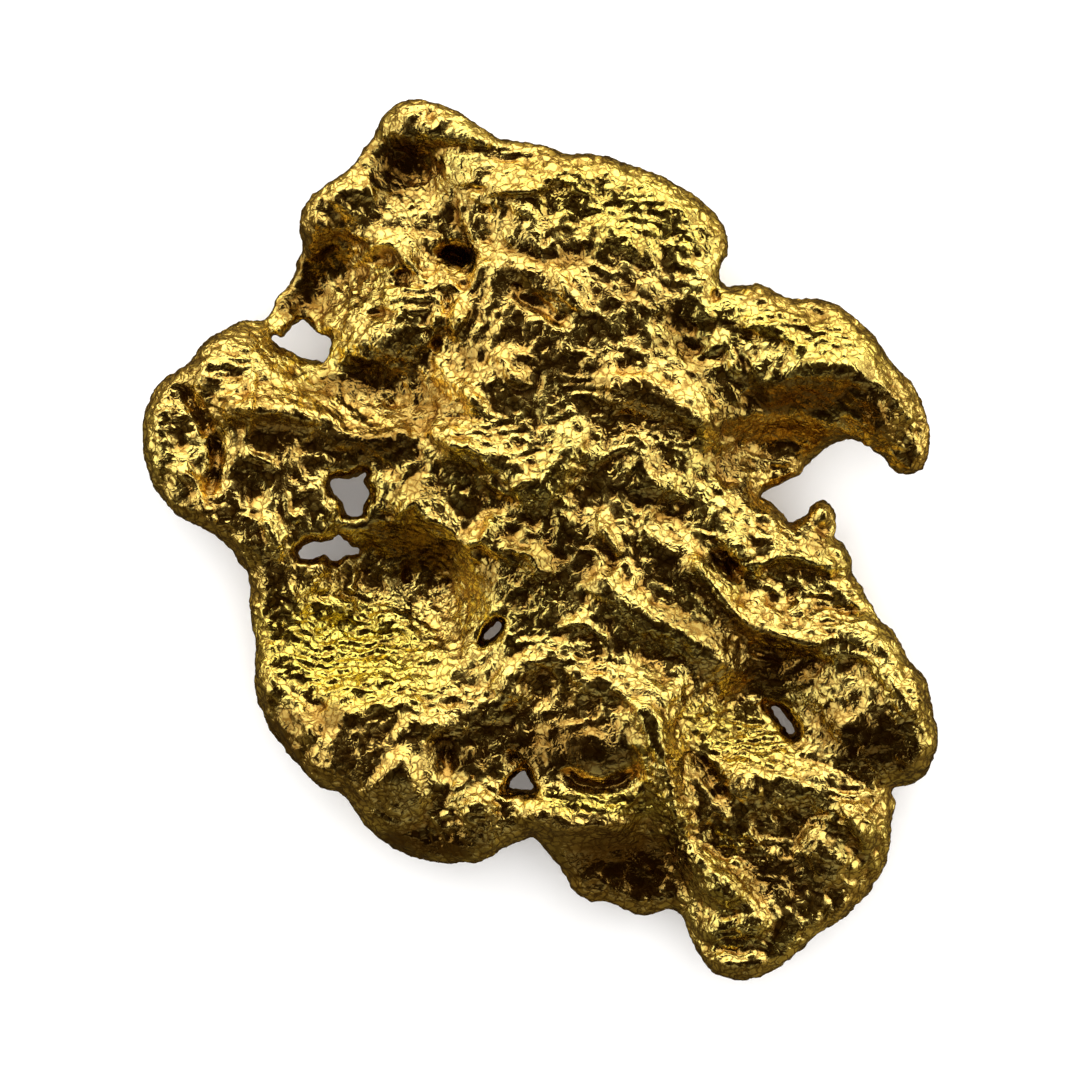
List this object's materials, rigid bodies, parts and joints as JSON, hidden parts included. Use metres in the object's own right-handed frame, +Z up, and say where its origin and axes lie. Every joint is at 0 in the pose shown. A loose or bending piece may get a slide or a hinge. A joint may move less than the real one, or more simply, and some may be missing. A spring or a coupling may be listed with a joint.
{
  "type": "gold nugget",
  "caption": "Flattened native gold nugget with a crumpled, pitted face, a hooked claw at one side, small through-holes and worn flats underneath to lie on.",
  "frame": {"origin": "bottom centre of the bounding box, on the surface that the nugget lies on", "axes": "+Z up out of the crumpled face, +Y along the longest way towards the end with the small round knob, +X towards the hooked claw's side"},
  "size_m": [0.0158, 0.0176, 0.0039],
  "materials": {
    "native_gold": "bright worn metal, glossy on the crests and duller and deeper orange in the hollows"
  },
  "bodies": {
    "root": {"nugget": "native_gold"}
  },
  "joints": []
}
